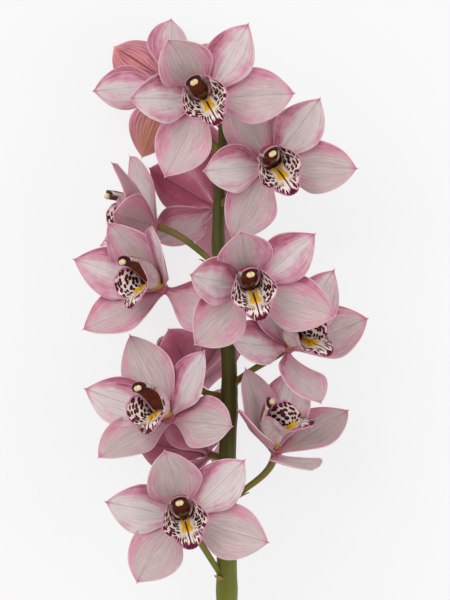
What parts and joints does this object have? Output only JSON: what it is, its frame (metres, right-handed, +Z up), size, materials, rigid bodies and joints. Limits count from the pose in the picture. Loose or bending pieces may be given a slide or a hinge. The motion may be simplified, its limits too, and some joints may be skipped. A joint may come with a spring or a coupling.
{
  "type": "cymbidium orchid stem",
  "caption": "Cut flowering stem of a cymbidium orchid with open pink blooms and spotted lips, lying on its side.",
  "frame": {"origin": "on the surface the stem lies on, under the middle of its bounding box", "axes": "+Y along the stem from its cut end to its tip, +Z up from the surface, +X to the right seen from above"},
  "size_m": [0.1779, 0.4761, 0.1301],
  "materials": {
    "stem": "satin, slightly waxy green plant skin",
    "tepals": "soft satin petal with a faint sparkle of cells",
    "lip": "satin petal with a velvety spotted face",
    "column": "waxy, slightly glossy",
    "anther": "smooth and waxy"
  },
  "bodies": {
    "root": {"scape": "stem", "bloom_a_tepals": "tepals", "bloom_a_lip": "lip", "bloom_a_column": "column", "bloom_a_anther": "anther", "bloom_b_tepals": "tepals", "bloom_b_lip": "lip", "bloom_b_column": "column", "bloom_b_anther": "anther", "bloom_c_tepals": "tepals", "bloom_c_lip": "lip", "bloom_c_column": "column", "bloom_c_anther": "anther", "bloom_d_tepals": "tepals", "bloom_d_lip": "lip", "bloom_d_column": "column", "bloom_d_anther": "anther", "bloom_e_tepals": "tepals", "bloom_e_lip": "lip", "bloom_e_column": "column", "bloom_e_anther": "anther", "bloom_f_tepals": "tepals", "bloom_f_lip": "lip", "bloom_f_column": "column", "bloom_f_anther": "anther", "bloom_g_tepals": "tepals", "bloom_g_lip": "lip", "bloom_g_column": "column", "bloom_g_anther": "anther", "bloom_h_tepals": "tepals", "bloom_h_lip": "lip", "bloom_h_column": "column", "bloom_h_anther": "anther", "bloom_i_tepals": "tepals", "bloom_i_lip": "lip", "bloom_i_column": "column", "bloom_i_anther": "anther", "bloom_j_tepals": "tepals", "bloom_j_lip": "lip", "bloom_j_column": "column", "bloom_j_anther": "anther", "bloom_k_tepals": "tepals", "bloom_k_lip": "lip", "bloom_k_column": "column", "bloom_k_anther": "anther", "bloom_l_tepals": "tepals", "bloom_l_lip": "lip", "bloom_l_column": "column", "bloom_l_anther": "anther", "bloom_m_tepals": "tepals", "bloom_m_lip": "lip", "bloom_m_column": "column", "bloom_m_anther": "anther"}
  },
  "joints": []
}
